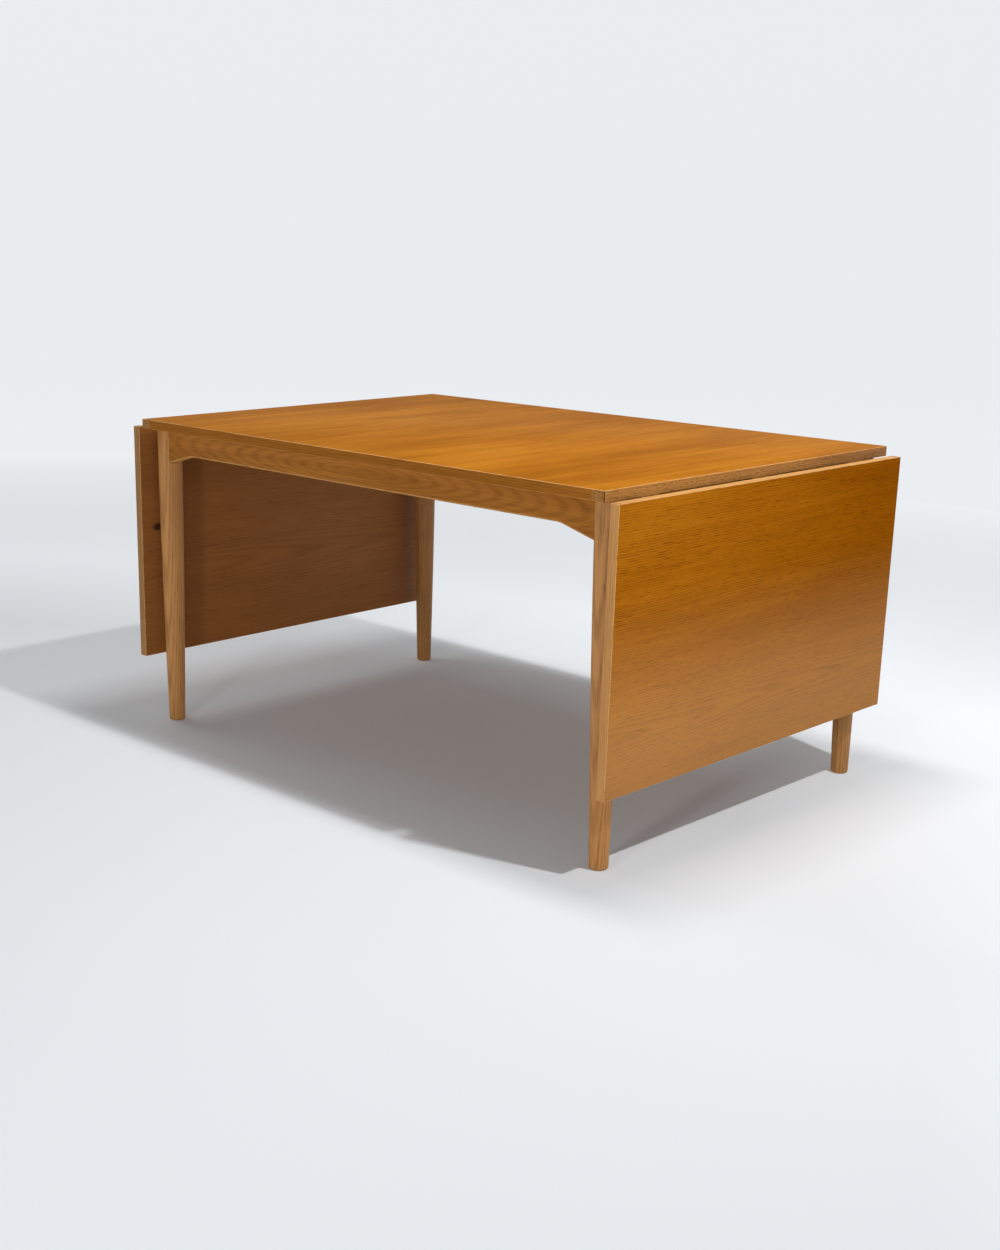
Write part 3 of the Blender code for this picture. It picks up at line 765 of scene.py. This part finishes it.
def hang(bm, side, tilt=RIGHT_LEAF_TILT):
    """Moves what was made for the left end to its own end."""
    if side == "left":
        return
    bmesh.ops.scale(bm, verts=bm.verts, vec=(-1, 1, 1))
    bmesh.ops.reverse_faces(bm, faces=bm.faces)
    about = Matrix.Translation(AXIS)
    turn = about @ Matrix.Rotation(tilt, 4, "Y") @ about.inverted()
    bmesh.ops.transform(bm, matrix=turn, verts=bm.verts)


def make_leaf_part(side, part, finish, grow, rule):
    low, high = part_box(f"leaf_left_{part}")
    bm = block(low - Vector(grow[0]), high + Vector(grow[1]))
    ease(bm, rule, EASE_LEAF)
    hang(bm, side)
    node = f"leaf_{side}_{part}"
    return piece(f"{node}_eased", bm, finish, f"leaf_{side}", [node])


def make_leaf(side):
    skin = CAD_GAP - HAIRLINE
    outwards, inwards = ((0, 0, 0), (skin, 0, 0)), ((skin, 0, 0), (0, 0, 0))
    sideways = ((0, skin, 0), (0, skin, 0))
    make_leaf_part(side, "outer_veneer", LEAF_OUT_OAK, outwards, both("x", LEAF_LOW.x))
    make_leaf_part(side, "inner_veneer", LEAF_IN_OAK, inwards, both("x", LEAF_INNER))
    make_leaf_part(side, "hinge_lipping", PALE_LIT_EDGE_OAK, sideways, no_edge)
    make_leaf_part(side, "end_lipping", EDGE_Y_OAK, sideways, no_edge)
    for face, sign in FACES.items():
        corner = either(both("z", LEAF_LOW.z), both("z", LEAF_HIGH.z))
        rule = every(both("y", sign * LEAF_HIGH.y), corner)
        still = ((0, 0, 0), (0, 0, 0))
        make_leaf_part(side, f"{face}_lipping", EDGE_Z_OAK, still, rule)


for side_name in SIDES:
    make_leaf(side_name)
print("leaves: six pieces each")

# %% [markdown]
# ## Lopers
#
# A raised leaf rests on two beech bars that pull out through notches in the end rail. Each has
# eased arrises, so that it slides without scraping, and a finger groove under its outer end.

# %% Lopers
EASE_LOPER = 0.0012
GROOVE_IN, GROOVE_WIDE, GROOVE_DEEP = 0.022, 0.014, 0.005


def runs_along_x(a, b):
    return not near(a.x, b.x)


def make_loper(face, side):
    node = f"loper_{face}_{side}"
    low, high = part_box(node)
    bm = block(low, high)
    ease(bm, runs_along_x, EASE_LOPER)
    outer = high.x if SIDES[side] > 0 else low.x
    middle = outer - SIDES[side] * (GROOVE_IN + GROOVE_WIDE / 2)
    for place in (middle - GROOVE_WIDE / 2, middle - GROOVE_WIDE / 6,
                  middle + GROOVE_WIDE / 6, middle + GROOVE_WIDE / 2):
        everything = list(bm.verts) + list(bm.edges) + list(bm.faces)
        bmesh.ops.bisect_plane(bm, geom=everything, plane_co=(place, 0, 0), plane_no=(1, 0, 0))
    for vert in bm.verts:
        if abs(vert.co.x - middle) < GROOVE_WIDE / 4 and vert.co.z < (low.z + high.z) / 2:
            vert.co.z += GROOVE_DEEP
    return piece(f"{node}_bar", bm, BEECH, node, [node])


for side_name in SIDES:
    for face_name in FACES:
        bar = make_loper(face_name, side_name)
print("lopers:", len(bar.data.polygons), "faces each")

# %% [markdown]
# ## Screws
#
# The hinge flaps are held by slotted countersunk screws, three in each. A head is a disc with a
# strip across it pushed down, which is the slot. The heads of one body make one piece, because
# they never move against each other.

# %% Screws
HEAD_RADIUS, HEAD_RIM, SLOT_HALF, SLOT_DEEP, HEAD_SUNK = 0.0037, 0.0006, 0.0004, 0.0007, 0.0001
SCREW_PLACES = ((0.0145, -0.017), (0.0250, 0.0), (0.0145, 0.017))
PLATE_FACE = 0.00305
HINGE_PLACES = (-0.340, 0.0, 0.340)
ROW_TWIST, SCREW_TWIST = math.radians(37), math.radians(71)


def add_head(bm, place, facing, twist):
    """One head with its middle at place, turned so that it faces along facing."""
    head = bmesh.new()
    bmesh.ops.create_circle(head, cap_ends=True, segments=24, radius=HEAD_RADIUS)
    for edge in (-SLOT_HALF, SLOT_HALF):
        everything = list(head.verts) + list(head.edges) + list(head.faces)
        bmesh.ops.bisect_plane(head, geom=everything, plane_co=(edge, 0, 0), plane_no=(1, 0, 0))
    strip = [face for face in head.faces if abs(face.calc_center_median().x) < SLOT_HALF / 2]
    sunk = bmesh.ops.extrude_face_region(head, geom=strip)["geom"]
    bmesh.ops.delete(head, geom=strip, context="FACES_ONLY")
    low = [item for item in sunk if isinstance(item, bmesh.types.BMVert)]
    bmesh.ops.translate(head, verts=low, vec=(0, 0, -SLOT_DEEP))
    rim = [edge for edge in head.edges if edge.is_boundary]
    skirt = bmesh.ops.extrude_edge_only(head, edges=rim)["geom"]
    lower = [item for item in skirt if isinstance(item, bmesh.types.BMVert)]
    bmesh.ops.translate(head, verts=lower, vec=(0, 0, -HEAD_RIM))
    bmesh.ops.recalc_face_normals(head, faces=head.faces)
    turn = Vector((0, 0, 1)).rotation_difference(facing).to_matrix().to_4x4()
    spin = Matrix.Rotation(twist, 4, "Z")
    bmesh.ops.transform(head, matrix=Matrix.Translation(place) @ turn @ spin, verts=head.verts)
    mesh = bpy.data.meshes.new("head")
    head.to_mesh(mesh)
    head.free()
    bm.from_mesh(mesh)
    bpy.data.meshes.remove(mesh)


def screw_heads(side, kind):
    """The heads in one kind of flap at one end, made at the left and hung on their own side."""
    bm = bmesh.new()
    hinge = Vector((-AXIS.x, 0, AXIS.z))
    for row, hinge_y in enumerate(HINGE_PLACES):
        for number, (reach, shift) in enumerate(SCREW_PLACES):
            twist = ROW_TWIST * row + SCREW_TWIST * number
            y = hinge_y + shift
            if kind == "top":
                place = hinge + Vector((reach, y, PLATE_FACE + HEAD_SUNK))
                add_head(bm, place, Vector((0, 0, -1)), twist)
            else:
                place = hinge + Vector((-PLATE_FACE - HEAD_SUNK, y, -reach))
                add_head(bm, place, Vector((1, 0, 0)), twist)
    hang(bm, side, 0.0 if kind == "top" else RIGHT_LEAF_TILT)
    return bm


for side_name in SIDES:
    for kind, body in (("top", "table_frame"), ("leaf", f"leaf_{side_name}")):
        heads = screw_heads(side_name, kind)
        piece(f"screws_{kind}_{side_name}", heads, STEEL, body)
print("screws: 9 in each row of flaps")

# %% [markdown]
# ## Under the top
#
# The end rails, bearers, blocks, cores and hinges already have their true shapes in the frame,
# notches and all. They need their finish, and some need their arrises eased, which a weld and a
# bevel do without touching the meshes.


# %% Under the top
def dress(node, finish, ease_by=0.0):
    made = NODES[node]
    made.data.materials.clear()
    made.data.materials.append(finish)
    if ease_by:
        weld = made.modifiers.new("weld", "WELD")
        weld.merge_threshold = 0.00001
        bevel = made.modifiers.new("ease", "BEVEL")
        bevel.width = ease_by
        bevel.segments = 2
        bevel.limit_method = "ANGLE"
        bevel.angle_limit = math.radians(50)


dress("top_core", UNDER_OAK)
for side_name in SIDES:
    dress(f"end_rail_{side_name}", RAIL_OAK)
    dress(f"cross_bearer_{side_name}", RAIL_OAK, 0.0008)
    dress(f"leaf_{side_name}_core", UNDER_OAK)
    for face_name in FACES:
        dress(f"corner_block_{face_name}_{side_name}", RAIL_OAK, 0.0008)
        dress(f"loper_stop_{face_name}_{side_name}", BEECH, 0.0004)
    for place_name in PLACES:
        label = f"hinge_{side_name}_{place_name}"
        dress(f"{label}_top_flap", BRASS)
        dress(f"{label}_leaf_flap", BRASS)
        dress(f"{label}_pin", STEEL)
print("frame pieces dressed")
